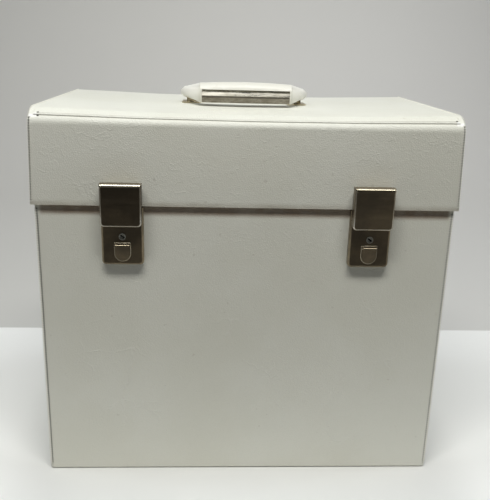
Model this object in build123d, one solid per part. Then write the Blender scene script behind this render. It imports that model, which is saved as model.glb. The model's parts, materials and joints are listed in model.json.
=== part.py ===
from build123d import *
import math
import os

os.makedirs("parts", exist_ok=True)

# A carrying case for 12-inch records.  Millimetres.  X runs to the right, Y to the back and
# Z up; the origin is at the middle of the underside of the body.

# ---- case ---------------------------------------------------------------------------------
body_width = 350.0
body_depth = 214.0
seam_height = 250.5        # underside of the lid above the floor
case_height = 328.0        # top of the lid at its two ends
lid_overhang = 2.5         # lid proud of the body at the front and ends
lid_lean = 2.6             # each end of the lid leans in over the lid's height
lid_sag = 3.5              # middle of the lid's top below its ends
lid_spans = 4              # straight spans that follow the sag
cover_thickness = 0.9      # vinyl
board_thickness = 3.0
collar_thickness = 1.6
collar_rise = 12.0         # collar above the seam
collar_back_gap = 11.0     # collar's raised ends stop short of the back
lining_thickness = 0.4
edge_radius = 2.4          # body's covered edges
foot_share = 0.6           # bevel round the foot, as a share of the edge radius

# ---- rolled front edge of the lid -----------------------------------------------------------
corner_run = 18.0          # rolled corner, front to back
corner_drop = 13.0         # rolled corner, top to bottom
back_radius = 3.0
bead_front = 3.1           # lower crease, behind the lid's front
bead_back = 4.9            # upper crease
bead_proud = 1.0
band_middle = 8.6          # lowest line of the hollow band
band_depth = 0.5
ridge_place = 12.6         # ridge where the flat of the top begins
ridge_lift = 0.3
roll_fullness = 0.35
roll_sides = 4             # flats that follow each curve of the roll
corner_sides = 10         # and the plain corner under it

# ---- rear hinges ----------------------------------------------------------------------------
hinge_inset = 75.0         # middle of each hinge in from the body's side
hinge_width = 38.0
hinge_leaf_height = 22.0
hinge_leaf_thickness = 1.2
hinge_corner = 2.5
hinge_pin_radius = 1.25
hinge_barrel_radius = 2.45
hinge_stand_off = 0.3      # barrel clear of the back covers
knuckle_gap = 0.25

# ---- shared fits ----------------------------------------------------------------------------
running_clearance = 0.05   # radial
slide_clearance = 0.2
bar_sides = 12             # flats on small pins and knuckles

# ---- rivets ---------------------------------------------------------------------------------
rivet_radius = 1.2
rivet_head_radius = 2.3
rivet_head_height = 0.8
rivet_tail_height = 0.5
rivet_head_sides = 8
rivet_shank_sides = 6
hinge_rivet_share = 0.3    # of the leaf's width, either side of its middle
hinge_rivet_rise = 0.6     # of the leaf's height
lock_rivet_share = 0.32
lock_rivet_inset = 9.0
bracket_rivet_side = 2.8
bracket_rivet_rise = 7.0   # above the seam

# ---- latches --------------------------------------------------------------------------------
latch_inset = 71.8         # middle of each latch in from the body's side
latch_sheet = 0.9
lock_width = 34.6
lock_height = 48.8
lock_seam_gap = 0.9        # lock case below the seam
lock_depth = 5.4
lock_shoulder = 1.5        # bevel round the front
lock_corner = 3.4
lock_sheet = 1.0
lock_plate_thickness = 0.8
lock_plate_margin = 1.9

barrel_radius = 2.9
barrel_below_seam = 25.3
barrel_proud = 0.8
barrel_length = 4.8
barrel_dish_radius = 2.2
barrel_dish_depth = 1.0
key_slot_width = 1.3
key_slot_length = 4.0
key_slot_depth = 3.2
key_slot_angle = 38.0
cam_reach = 5.4
cam_width = 3.0
cam_thickness = 1.0

button_width = 13.8
button_height = 16.2
button_below_barrel = 2.0  # clear metal between the barrel and the button
button_sheet = 1.1
button_gap = 0.1           # button's back off the lock's face
button_travel = 2.0
ledge_width = 11.8
ledge_inset = 1.3          # ledge below the button's top edge
ledge_reach = 2.3          # ledge above the button's plate, at its upper edge
ledge_foot = 0.5           # and at its lower edge
ledge_edge = 1.0
stud_width = 4.6
stud_height = 4.0
stud_below_top = 7.5

bolt_width = 11.0
bolt_thickness = 0.8
nose_width = 7.0
nose_drop = 0.8            # bolt nose held back under the tongue
bolt_spring_sheet = 0.4
bolt_spring_span = 15.0
bolt_spring_width = 2.2

hasp_width = 33.4
hasp_height = 35.3
hasp_rise = 20.2           # top of the hasp above the seam
hasp_depth = 8.1
hasp_bend = 1.2            # bevel round its sides and foot
hasp_top_bend = 2.3
hasp_corner = 3.2
hasp_lock_gap = 0.5
hasp_pin_radius = 0.8
hasp_knuckle_radius = 1.6
bracket_sheet = 0.8
ear_radius = 1.5
bracket_foot = 2.0         # bracket's plate above the seam
bracket_fall = 4.5         # bracket's plate below the hasp's top
hasp_spring_foot = 3.0     # heights above the seam
hasp_spring_bend = 13.0
hasp_spring_drop = 7.0
hasp_spring_side = 6.5
hasp_spring_width = 4.0
tongue_width = 10.0
tongue_thickness = 1.2
tongue_rise = 7.1          # tongue's underside below the seam
tongue_leg = 14.0
tongue_reach = 11.5
tongue_slot_clearance = 0.6

# ---- handle ---------------------------------------------------------------------------------
pivot_y = 14.0
pivot_above_top = 10.4
grip_back = 30.0           # pivot to the middle of the grip
grip_above_pivot = 1.4
arm_run = 18.7             # each tapering arm, along the handle
grip_crown = 1.4
grip_spans = 4             # straight spans that follow the crown
grip_sides = 5             # flats that follow each curve of the grip
trim_inset = 1.5           # strip's ends in from the grip's
handle_span = 120.4        # over the tips
tip_width = 5.2
tip_outer_half = 1.8       # half heights of a tip at its outer face,
tip_middle_half = 4.1      # half way in
tip_inner_half = 5.0       # and at its inner face
tip_straight = 4.4
tip_back = 3.0             # tip behind the pivot
tip_bevel = 1.2
core_thickness = 2.0
core_height = 3.8
handle_pin_radius = 1.3
handle_pin_head = 2.2
handle_pin_head_height = 1.2
handle_pin_stop = 0.9      # pin's end inside the tip
lug_thickness = 2.2
lug_radius = 3.2
brace_half = 4.0           # half width of the lug's sloping brace
brace_inset = 1.0          # its foot in from the plate's end
lug_foot = 5.0             # half of the lug's length at the plate
lug_gap = 0.4
handle_plate_thickness = 1.0
handle_plate_length = 26.0
handle_plate_width = 18.0
handle_plate_shift = 3.5   # plate's middle in from its lug
handle_plate_corner = 2.5
handle_rivet_spacing = 19.0
backing_thickness = 1.0

# ---- worked-out places ------------------------------------------------------------------------
half_width = body_width / 2
half_depth = body_depth / 2
wall = cover_thickness + board_thickness
lid_front = -(half_depth + lid_overhang)
lid_half_width = half_width + lid_overhang
lid_reach = lid_half_width + lid_overhang
lid_height = case_height - seam_height
hinge_axis_y = half_depth + hinge_stand_off + hinge_barrel_radius
lock_face = -(half_depth + lock_depth)
lock_top = seam_height - lock_seam_gap
lock_bottom = lock_top - lock_height
barrel_z = seam_height - barrel_below_seam
latch_x = half_width - latch_inset
hinge_x = half_width - hinge_inset
button_top = barrel_z - barrel_radius - button_below_barrel
button_bottom = button_top - button_height
button_back = lock_face - button_gap
button_front = button_back - button_sheet
stud_top = button_top - stud_below_top
stud_bottom = stud_top - stud_height
bolt_front = lock_face + lock_sheet + slide_clearance
bolt_back = bolt_front + bolt_thickness
tongue_bottom = seam_height - tongue_rise
bolt_nose_top = tongue_bottom - nose_drop
bolt_foot = stud_bottom
hasp_back = lock_face - hasp_lock_gap
hasp_face = hasp_back - hasp_depth
hasp_top = seam_height + hasp_rise
hasp_bottom = hasp_top - hasp_height
hasp_pin_y = hasp_back - 0.3
hasp_pin_z = hasp_top - hasp_knuckle_radius
pivot_z = case_height - lid_sag + pivot_above_top
grip_y = pivot_y - grip_back
grip_z = pivot_z + grip_above_pivot
tip_outer = handle_span / 2
grip_length = handle_span - 2 * arm_run
trim_length = grip_length - 2 * trim_inset
tip_inner = tip_outer - tip_width
lug_outer = tip_inner - lug_gap
lug_inner = lug_outer - lug_thickness
plate_middle = (lug_outer + lug_inner) / 2 - handle_plate_shift

nodes = {}


def block(x0, x1, y0, y1, z0, z1):
    """Rectangular block between two corners."""
    centre = Pos((x0 + x1) / 2, (y0 + y1) / 2, (z0 + z1) / 2)
    return centre * Box(x1 - x0, y1 - y0, z1 - z0)


def rod(start, end, radius):
    """Round bar between two points."""
    path = Vector(*end) - Vector(*start)
    return extrude(Plane(origin=start, z_dir=path) * Circle(radius), amount=path.length)


def bar(start, end, radius, loose=False):
    """Small knuckle with flats; a loose one is the hole that a round pin turns in."""
    start, end = sorted((start, end))
    path = Vector(*end) - Vector(*start)
    outline = RegularPolygon(radius, bar_sides, major_radius=not loose)
    return extrude(Plane(origin=start, z_dir=path) * outline, amount=path.length)


def prism_x(points, x0, x1):
    """Closed YZ outline carried along X."""
    outline = Polyline(*[(x0, y, z) for y, z in points], close=True)
    return extrude(make_face(outline), amount=x1 - x0, dir=(1, 0, 0))


def prism_y(points, y0, y1):
    """Closed XZ outline carried along Y."""
    outline = Polyline(*[(x, y0, z) for x, z in points], close=True)
    return extrude(make_face(outline), amount=y1 - y0, dir=(0, 1, 0))


def lid_top_at(x):
    """Height of the lid's sagging top, which runs straight between its stations."""
    span = 2 * lid_reach / lid_spans
    before = math.floor((x + lid_reach) / span) * span - lid_reach
    low, high = (case_height - lid_sag * (1 - (end / lid_half_width) ** 2)
                 for end in (before, before + span))
    return low + (high - low) * (x - before) / span


def in_flats(curve, flats):
    """The same curve as straight pieces."""
    return Polyline(*[curve @ (i / flats) for i in range(flats + 1)])


# ---- body -------------------------------------------------------------------------------------

def body_form(inset, top):
    """The body as one rounded block, moved in from its outside."""
    form = block(-half_width + inset, half_width - inset,
                 -half_depth + inset, half_depth - inset, inset, top + edge_radius)
    form = fillet(form.edges().filter_by(Axis.Z), edge_radius - inset)
    foot = form.faces().sort_by(Axis.Z)[0].edges()
    form = chamfer(foot, (edge_radius - inset) * foot_share)
    return form & block(-body_width, body_width, -body_depth, body_depth, -1, top)


def body_hollow(inset, floor):
    return block(-half_width + inset, half_width - inset,
                 -half_depth + inset, half_depth - inset, floor, case_height)


def make_body_covers():
    inner = body_form(cover_thickness, seam_height - cover_thickness)
    skin = body_form(0, seam_height) - inner - body_hollow(wall, wall)
    side = half_width - edge_radius
    above = block(-body_width, body_width, -body_depth, body_depth, edge_radius, case_height)
    left = block(-body_width, -side, -body_depth, body_depth, 0, case_height)
    right = block(side, body_width, -body_depth, body_depth, 0, case_height)
    rim = block(-body_width, body_width, -half_depth + wall, half_depth - wall,
                seam_height - cover_thickness, case_height)
    left += rim & block(-body_width, 0, -body_depth, body_depth, 0, case_height)
    right += rim & block(0, body_width, -body_depth, body_depth, 0, case_height)
    middle = above - left - right
    nodes["body_bottom_cover"] = skin - above
    nodes["body_left_cover"] = skin & above & left
    nodes["body_right_cover"] = skin & above & right
    nodes["body_front_cover"] = skin & middle & block(-side, side, -body_depth, 0, 0, case_height)
    nodes["body_back_cover"] = skin & middle & block(-side, side, 0, body_depth, 0, case_height)


def make_body_boards():
    core = body_form(cover_thickness, seam_height - cover_thickness)
    shell = core - body_hollow(wall, wall)
    inside = half_width - wall
    between = block(-inside, inside, -body_depth, body_depth, 0, case_height)
    nodes["body_left_board"] = shell & block(-body_width, -inside, -body_depth, body_depth,
                                             0, case_height)
    nodes["body_right_board"] = shell & block(inside, body_width, -body_depth, body_depth,
                                              0, case_height)
    floor = block(-inside, inside, -half_depth + wall, half_depth - wall, 0, wall)
    nodes["body_bottom_board"] = shell & floor
    walls = (shell & between) - floor
    nodes["body_front_board"] = walls & block(-inside, inside, -body_depth, 0, 0, case_height)
    nodes["body_back_board"] = walls & block(-inside, inside, 0, body_depth, 0, case_height)


def make_collar():
    """Thin boards inside the walls; all but the back one rise into the lid."""
    x_out = half_width - wall
    x_in = x_out - collar_thickness
    y_out = half_depth - wall
    y_in = y_out - collar_thickness
    top = seam_height + collar_rise
    lead = collar_thickness / 2
    front = block(-x_out, x_out, -y_out, -y_in, wall, top)
    nodes["collar_front"] = chamfer(front.edges().filter_by(Axis.X).group_by(Axis.Z)[-1]
                                    .sort_by(Axis.Y)[0], lead)
    nodes["collar_back"] = block(-x_out, x_out, y_in, y_out, wall, seam_height)
    for name, side in (("collar_left", -1), ("collar_right", 1)):
        outline = [(-y_in, wall), (y_in, wall), (y_in, seam_height),
                   (y_in - collar_back_gap, seam_height),
                   (y_in - collar_back_gap - collar_rise, top), (-y_in, top)]
        x0, x1 = sorted((side * x_in, side * x_out))
        nodes[name] = prism_x(outline, x0, x1)


def make_body_lining():
    inset = wall + collar_thickness
    top = seam_height
    outside = body_hollow(inset, wall) & block(-body_width, body_width, -body_depth, body_depth,
                                               0, top)
    nodes["body_lining"] = outside - body_hollow(inset + lining_thickness,
                                                 wall + lining_thickness)


# ---- lid --------------------------------------------------------------------------------------

def lid_section(x, inset, base, beaded):
    """YZ outline of the lid at a place along its length, moved in from its outside."""
    sag = case_height - lid_top_at(x)
    rise = corner_drop - sag
    low = case_height - corner_drop
    front = lid_front + inset
    hub_y = lid_front + corner_run
    top = low + rise - inset
    back = half_depth - inset
    turn = max(back_radius - inset, 0.5)

    def on_corner(run, lift=0.0):
        share = (corner_run - run) / corner_run
        height = corner_drop * math.sqrt(1 - share ** 2) + lift
        return (x, lid_front + run, low + height * rise / corner_drop)

    start = (x, front, low)
    hub = (x, hub_y, top)
    wires = [Line((x, front, base), start)]
    if beaded:
        lower = on_corner(bead_front)
        upper = on_corner(bead_back)
        away = 0.7 * bead_proud
        crest = on_corner((bead_front + bead_back) / 2)
        crest = (x, crest[1] - away, crest[2] + away)
        full = on_corner(bead_front / 4, roll_fullness)
        ridge = on_corner(ridge_place, ridge_lift)
        wires.append(in_flats(ThreePointArc(start, full, lower), roll_sides))
        wires.append(in_flats(ThreePointArc(lower, crest, upper), roll_sides))
        band = ThreePointArc(upper, on_corner(band_middle, -band_depth), ridge)
        wires.append(in_flats(band, roll_sides))
        fall = on_corner((ridge_place + corner_run) / 2, ridge_lift / 2)
        wires.append(in_flats(ThreePointArc(ridge, fall, hub), roll_sides))
    else:
        corner = EllipticalCenterArc((hub_y, low), corner_run - inset, rise - inset,
                                     start_angle=90, arc_size=90)
        corner = Plane(origin=(x, 0, 0), x_dir=(0, 1, 0), z_dir=(1, 0, 0)) * corner
        wires.append(in_flats(corner.edges()[0], corner_sides))
    half = turn * (1 - math.sqrt(0.5))
    wires.append(Line(hub, (x, back - turn, top)))
    heel = ThreePointArc((x, back - turn, top), (x, back - half, top - half),
                         (x, back, top - turn))
    wires.append(in_flats(heel, roll_sides))
    wires.append(Line((x, back, top - turn), (x, back, base)))
    wires.append(Line((x, back, base), (x, front, base)))
    return make_face(wires)


def lid_form(inset, base, beaded=False):
    """The lid as one solid with its sagging top, longer than the lid."""
    stations = [lid_reach * (2 * i / lid_spans - 1) for i in range(lid_spans + 1)]
    return loft([lid_section(x, inset, base, beaded) for x in stations], ruled=True)


def lid_ends(inset):
    """Everything between the lid's two leaning ends, moved in from them."""
    low, high = seam_height - lid_height, case_height + lid_height
    low_x = lid_half_width - inset + lid_lean
    high_x = lid_half_width - inset - 2 * lid_lean
    outline = [(-low_x, low), (low_x, low), (high_x, high), (-high_x, high)]
    return prism_y(outline, -body_depth, body_depth)


def make_lid_shell():
    hem = seam_height + cover_thickness
    cheek = lid_form(0, seam_height)
    core = lid_form(cover_thickness, hem)
    hollow = lid_form(wall, seam_height - 1)
    between = lid_ends(wall)
    half = block(0, body_width, -body_depth, body_depth, 0, 2 * case_height)
    other = block(-body_width, 0, -body_depth, body_depth, 0, 2 * case_height)

    boards = core & lid_ends(cover_thickness)
    covers = (cheek & lid_ends(0)) - boards - between
    ends = boards - between
    for name, part, side in (("lid_right_cover", covers, half), ("lid_left_cover", covers, other),
                             ("lid_right_board", ends, half), ("lid_left_board", ends, other)):
        nodes[name] = part & side

    wrap = (lid_form(0, seam_height, True) & between) - core - hollow
    nodes["lid_wrap_cover"] = wrap

    inner = core & between
    corner = block(-body_width, body_width, -body_depth, lid_front + corner_run,
                   case_height - corner_drop, 2 * case_height)
    nodes["lid_batten"] = inner & corner
    shell = inner - hollow - corner
    below = block(-body_width, body_width, -body_depth, 0, 0, case_height - corner_drop)
    behind = block(-body_width, body_width, half_depth - wall, body_depth, 0, 2 * case_height)
    nodes["lid_front_board"] = shell & below
    nodes["lid_back_board"] = shell & behind
    nodes["lid_top_board"] = shell - below - behind

    deeper = wall + lining_thickness
    room = lid_form(wall, seam_height) & between
    nodes["lid_lining"] = room - (lid_form(deeper, seam_height - 1) & lid_ends(deeper)) - corner


# ---- rear hinges ------------------------------------------------------------------------------

def hinge_leaf(x, up, knuckles):
    """One leaf with its knuckles; up is 1 for the lid's leaf and -1 for the body's."""
    low = hinge_barrel_radius + knuckle_gap
    z0, z1 = sorted((seam_height + up * low, seam_height + up * (low + hinge_leaf_height)))
    y0, y1 = half_depth, half_depth + hinge_leaf_thickness
    leaf = block(x - hinge_width / 2, x + hinge_width / 2, y0, y1, z0, z1)
    far = leaf.edges().filter_by(Axis.Y).sort_by(Axis.Z)
    leaf = chamfer(far[-2:] if up > 0 else far[:2], hinge_corner)
    for x0, x1 in knuckles:
        z2, z3 = sorted((seam_height, seam_height + up * low))
        leaf += block(x0, x1, y0 + hinge_stand_off, y1, z2, z3)
        leaf += bar((x0, hinge_axis_y, seam_height), (x1, hinge_axis_y, seam_height),
                    hinge_barrel_radius)
    return leaf


def make_hinges():
    third = hinge_width / 3
    pins = []
    for name, x in (("left", -hinge_x), ("right", hinge_x)):
        left, right = x - hinge_width / 2, x + hinge_width / 2
        outer = [(left, left + third - knuckle_gap), (right - third + knuckle_gap, right)]
        inner = [(left + third, right - third)]
        start, end = (left, hinge_axis_y, seam_height), (right, hinge_axis_y, seam_height)
        tight = bar(start, end, hinge_pin_radius, loose=True)
        loose = bar(start, end, hinge_pin_radius + running_clearance, loose=True)
        nodes["hinge_" + name + "_body_leaf"] = hinge_leaf(x, -1, outer) - tight
        nodes["hinge_" + name + "_lid_leaf"] = hinge_leaf(x, 1, inner) - loose
        pins.append(rod(start, end, hinge_pin_radius))
    nodes["hinge_pins"] = Compound(children=pins)


# ---- latches ----------------------------------------------------------------------------------

def u_outline(x, width, top, bottom, y):
    """Straight-sided shape with a round bottom, on a plane facing the front."""
    r = width / 2
    left, right = x - r, x + r
    edges = [Line((left, y, bottom + r), (left, y, top)), Line((left, y, top), (right, y, top)),
             Line((right, y, top), (right, y, bottom + r)),
             ThreePointArc((right, y, bottom + r), (x, y, bottom), (left, y, bottom + r))]
    return make_face(edges)


def make_lock_case(x):
    """Pressed case with round shoulders and slots for the tongue and the button's stud."""
    half = lock_width / 2
    form = block(x - half, x + half, lock_face, -half_depth, lock_bottom, lock_top)
    low = form.edges().filter_by(Axis.Y).group_by(Axis.Z)[0]
    form = fillet(low, lock_corner)
    rim = form.faces().sort_by(Axis.Y)[0].edges()
    soft = [e for e in rim if e.center().Z < lock_top - 0.1]
    form = chamfer(soft, lock_shoulder)
    hollow = block(x - half + lock_sheet, x + half - lock_sheet, lock_face + lock_sheet,
                   0, lock_bottom + lock_sheet, lock_top - lock_sheet)
    hollow = chamfer(hollow.edges().filter_by(Axis.Y).group_by(Axis.Z)[0],
                     lock_corner - lock_sheet)
    case = form - hollow
    slot = tongue_width / 2 + tongue_slot_clearance
    case -= block(x - slot, x + slot, lock_face - 1, -half_depth - lock_plate_thickness,
                  bolt_nose_top - tongue_slot_clearance, seam_height)
    case -= rod((x, lock_face - 1, barrel_z), (x, bolt_front, barrel_z),
                barrel_radius + running_clearance)
    side = stud_width / 2 + slide_clearance / 2
    case -= block(x - side, x + side, lock_face - 1, bolt_front,
                  stud_bottom - button_travel - slide_clearance, stud_top + slide_clearance)
    return case


def make_lock_plate(x):
    half = lock_width / 2 - lock_plate_margin
    plate = block(x - half, x + half, -half_depth - lock_plate_thickness, -half_depth,
                  lock_bottom + lock_plate_margin, lock_top - lock_plate_margin)
    return fillet(plate.edges().filter_by(Axis.Y).group_by(Axis.Z)[0],
                  lock_corner - lock_plate_margin)


def make_barrel(x):
    """Key barrel with a dished face, a slanting key slot and a cam behind the bolt."""
    front = lock_face - barrel_proud
    barrel = rod((x, front, barrel_z), (x, front + barrel_length, barrel_z), barrel_radius)
    barrel -= rod((x, front, barrel_z), (x, front + barrel_dish_depth, barrel_z),
                  barrel_dish_radius)
    slot = Box(key_slot_length, 2 * key_slot_depth, key_slot_width)
    barrel -= Pos(x, front, barrel_z) * Rot(0, key_slot_angle, 0) * slot
    cam_y = bolt_back + slide_clearance
    cam = block(x, x + cam_reach, cam_y, cam_y + cam_thickness, barrel_z - cam_width / 2,
                barrel_z + cam_width / 2)
    return barrel + cam


def make_button(x):
    """Thumb slide: a round-bottomed plate with a wedge-shaped ledge, and a stud to the bolt."""
    out = (0, 1, 0)
    plate = extrude(u_outline(x, button_width, button_top, button_bottom, button_front),
                    amount=button_sheet, dir=out)
    plate = chamfer(plate.faces().sort_by(Axis.Y)[0].edges(), button_sheet / 3)
    crest = button_front - ledge_reach
    high = button_top - ledge_inset
    low = button_bottom + ledge_inset
    ledge = extrude(u_outline(x, ledge_width, high, low, crest), amount=ledge_reach, dir=out)
    slope = [(button_front - ledge_foot, low), (crest, high - 2 * ledge_edge), (crest, high),
             (button_front, high), (button_front, low)]
    ledge = ledge & prism_x(slope, x - button_width, x + button_width)
    lip = [e for e in ledge.edges().filter_by(Axis.X)
           if e.center().Y < crest + 0.1 and e.center().Z > high - 0.1]
    ledge = fillet(lip, ledge_edge)
    half = stud_width / 2
    return plate + ledge + block(x - half, x + half, button_back, bolt_front, stud_bottom,
                                 stud_top)


def make_bolt(x):
    """Sliding bolt: a plate around the barrel with a nose under the hasp's tongue."""
    half = bolt_width / 2
    shoulder = barrel_z + barrel_radius + button_travel + 3.5
    bolt = block(x - half, x + half, bolt_front, bolt_back, bolt_foot, shoulder)
    bolt += block(x - nose_width / 2, x + nose_width / 2, bolt_front, bolt_back, shoulder,
                  bolt_nose_top)
    window = barrel_radius + slide_clearance
    bolt -= block(x - window, x + window, bolt_front - 1, bolt_back + 1, barrel_z - window,
                  barrel_z + window + button_travel)
    return bolt


def make_bolt_spring(x):
    """Bowed flat spring between the case's floor and the bolt's foot."""
    floor = lock_bottom + lock_sheet
    crown = bolt_foot
    half = bolt_spring_span / 2
    y0 = bolt_front
    outer = ThreePointArc((x - half, y0, floor + bolt_spring_sheet), (x, y0, crown),
                          (x + half, y0, floor + bolt_spring_sheet))
    inner = ThreePointArc((x - half, y0, floor), (x, y0, crown - bolt_spring_sheet),
                          (x + half, y0, floor))
    ends = [Line(outer @ 0, inner @ 0), Line(outer @ 1, inner @ 1)]
    return extrude(make_face([outer, inner] + ends), amount=bolt_spring_width, dir=(0, 1, 0))


def make_hasp(x):
    """Pressed pan, closed at its sides and foot, rolled round the pin at the back of its top."""
    half = hasp_width / 2
    form = block(x - half, x + half, hasp_face, hasp_back, hasp_bottom, hasp_top)
    form = fillet(form.edges().filter_by(Axis.Y).group_by(Axis.Z)[0], hasp_corner)
    rim = form.faces().sort_by(Axis.Y)[0].edges()
    soft = [e for e in rim if e.center().Z < hasp_top - 0.1]
    form = chamfer(soft, hasp_bend)
    top = form.edges().filter_by(Axis.X).group_by(Axis.Z)[-1].sort_by(Axis.Y)[0]
    form = fillet(top, hasp_top_bend)
    hollow = block(x - half + latch_sheet, x + half - latch_sheet, hasp_face + latch_sheet,
                   0, hasp_bottom + latch_sheet, hasp_top - latch_sheet)
    hollow = chamfer(hollow.edges().filter_by(Axis.Y).group_by(Axis.Z)[0],
                     hasp_corner - latch_sheet)
    hollow = chamfer(hollow.edges().filter_by(Axis.X).group_by(Axis.Z)[-1].sort_by(Axis.Y)[0],
                     hasp_top_bend - latch_sheet)
    pan = form - hollow
    inside = half - latch_sheet
    pan -= block(x - inside, x + inside, hasp_pin_y, 0, hasp_bottom + latch_sheet, hasp_top + 1)
    roll = inside - bracket_sheet - 2 * slide_clearance
    for x0, x1 in ((x - inside, x - roll), (x + roll, x + inside)):
        pan -= block(x0, x1, hasp_pin_y - ear_radius - slide_clearance, 0,
                     hasp_top - 2 * latch_sheet, hasp_top + 1)
    ends = ((x - roll, hasp_pin_y, hasp_pin_z), (x + roll, hasp_pin_y, hasp_pin_z))
    pan += bar(*ends, hasp_knuckle_radius)
    return pan - bar(*ends, hasp_pin_radius + running_clearance, loose=True)


def make_tongue(x):
    """Bent strip inside the hasp whose pierced end goes into the lock case."""
    half = tongue_width / 2
    back = hasp_face + latch_sheet
    strip = block(x - half, x + half, back, back + tongue_thickness, tongue_bottom,
                  tongue_bottom + tongue_leg)
    strip += block(x - half, x + half, back, back + tongue_reach, tongue_bottom,
                   tongue_bottom + tongue_thickness)
    eye = nose_width / 2 + slide_clearance
    return strip - block(x - eye, x + eye, bolt_front - 0.5, bolt_back + 0.5,
                         tongue_bottom - 1, tongue_bottom + tongue_thickness + 1)


def make_hasp_bracket(x):
    """Plate on the lid with two ears that carry the hasp's pin."""
    outer = hasp_width / 2 - latch_sheet - slide_clearance
    top = hasp_top - bracket_fall
    plate = block(x - outer, x + outer, lid_front - bracket_sheet, lid_front,
                  seam_height + bracket_foot, top)
    for side in (-1, 1):
        x0, x1 = sorted((x + side * outer, x + side * (outer - bracket_sheet)))
        arm = [(lid_front, top - 7), (lid_front, top), (hasp_pin_y + ear_radius, hasp_pin_z),
               (hasp_pin_y - ear_radius, hasp_pin_z), (hasp_pin_y - ear_radius * 0.8, top - 3)]
        plate += prism_x(arm, x0, x1)
        plate += bar((x0, hasp_pin_y, hasp_pin_z), (x1, hasp_pin_y, hasp_pin_z), ear_radius)
    return plate - bar(*hasp_pin_ends(x), hasp_pin_radius, loose=True)


def hasp_pin_ends(x):
    reach = hasp_width / 2 - latch_sheet - slide_clearance
    return (x - reach, hasp_pin_y, hasp_pin_z), (x + reach, hasp_pin_y, hasp_pin_z)


def make_hasp_spring(x):
    """Bent flat spring on the bracket that throws the hasp open."""
    y0 = lid_front - bracket_sheet
    y1 = hasp_face + latch_sheet + 2 * slide_clearance
    foot = seam_height + hasp_spring_foot
    bend = seam_height + hasp_spring_bend
    tip = bend - hasp_spring_drop
    t = bolt_spring_sheet
    leaf = [(y0, foot), (y0 - t, foot), (y0 - t, bend - t), (y1, tip), (y1, tip + t), (y0, bend)]
    return prism_x(leaf, x + hasp_spring_side, x + hasp_spring_side + hasp_spring_width)


def make_latches():
    pins, springs = [], []
    for name, x in (("left", -latch_x), ("right", latch_x)):
        nodes["lock_case_" + name] = make_lock_case(x)
        nodes["lock_plate_" + name] = make_lock_plate(x)
        nodes["key_barrel_" + name] = make_barrel(x)
        nodes["release_button_" + name] = make_button(x)
        nodes["bolt_" + name] = make_bolt(x)
        nodes["bolt_spring_" + name] = make_bolt_spring(x)
        nodes["hasp_" + name] = make_hasp(x)
        nodes["hasp_tongue_" + name] = make_tongue(x)
        nodes["hasp_bracket_" + name] = make_hasp_bracket(x)
        pins.append(rod(*hasp_pin_ends(x), hasp_pin_radius))
        springs.append(make_hasp_spring(x))
    nodes["hasp_pins"] = Compound(children=pins)
    nodes["hasp_springs"] = Compound(children=springs)


# ---- handle -----------------------------------------------------------------------------------
# Outline of the grip about its middle, in (y, z), as it lies folded to the front.
trim_low = (-9.4, -8.0)
trim_high = (-8.2, 3.2)
trim_crest = (-11.1, -2.5)
trim_groove = 0.7          # groove between the strip's two bands
trim_sheet = 0.9
face_low = (-10.2, -8.2)
face_high = (-11.0, 3.5)
shoulder_point = (-8.4, 8.2)
grip_top = (-1.0, 10.2)
back_high = (6.6, 7.2)
grip_rear = (9.6, 0.0)
back_low = (6.8, -6.6)
grip_low = (0.5, -8.8)


def grip_section(x):
    """Outline of the padded grip at a place along it, fuller in the middle."""
    crown = grip_crown * (1 - (2 * x / grip_length) ** 2) - grip_crown

    def at(point):
        lift = crown if point[1] > face_high[1] else 0.0
        return (x, grip_y + point[0], grip_z + point[1] + lift)

    wires = [Line(at(face_low), at(face_high)),
             in_flats(ThreePointArc(at(face_high), at(shoulder_point), at(grip_top)), grip_sides),
             in_flats(ThreePointArc(at(grip_top), at(back_high), at(grip_rear)), grip_sides),
             in_flats(ThreePointArc(at(grip_rear), at(back_low), at(grip_low)), grip_sides),
             Line(at(grip_low), at(face_low))]
    return make_face(wires)


def flat_face(points):
    return make_face(Polyline(*points, close=True)).faces()[0]


def tip_outline():
    """XZ outline of the right tip, deeper at its inner face."""
    middle = tip_outer - tip_width / 2
    upper = [(tip_outer, tip_outer_half), (middle, tip_middle_half),
             (tip_inner + tip_bevel, tip_inner_half), (tip_inner, tip_inner_half - tip_bevel)]
    lower = [(x, -z) for x, z in reversed(upper)]
    return [(x, pivot_z + z) for x, z in [lower[-1]] + upper + lower[:-1]]


def handle_arm():
    """Facetted taper of the pad's right end, from the grip back and out to the pivot."""
    corners = (face_low, face_high, shoulder_point, grip_top, back_high, grip_rear, back_low,
               grip_low)
    root = []
    for y, z in corners:
        drop = grip_crown if z > face_high[1] else 0.0
        root.append((grip_length / 2, grip_y + y, grip_z + z - drop))
    tip = [(x, pivot_y - tip_straight, z) for x, z in tip_outline()]
    faces = [flat_face(root), flat_face(tip)]
    for i in range(len(root)):
        k = (i + 1) % len(root)
        faces.append(flat_face([root[i], root[k], tip[k]]))
        faces.append(flat_face([root[i], tip[k], tip[i]]))
    end = prism_y(tip_outline(), pivot_y - tip_straight, pivot_y + tip_back)
    end = chamfer(end.faces().sort_by(Axis.Y)[-1].edges(), tip_bevel)
    return Solid(Shell(faces)) + end


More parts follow.
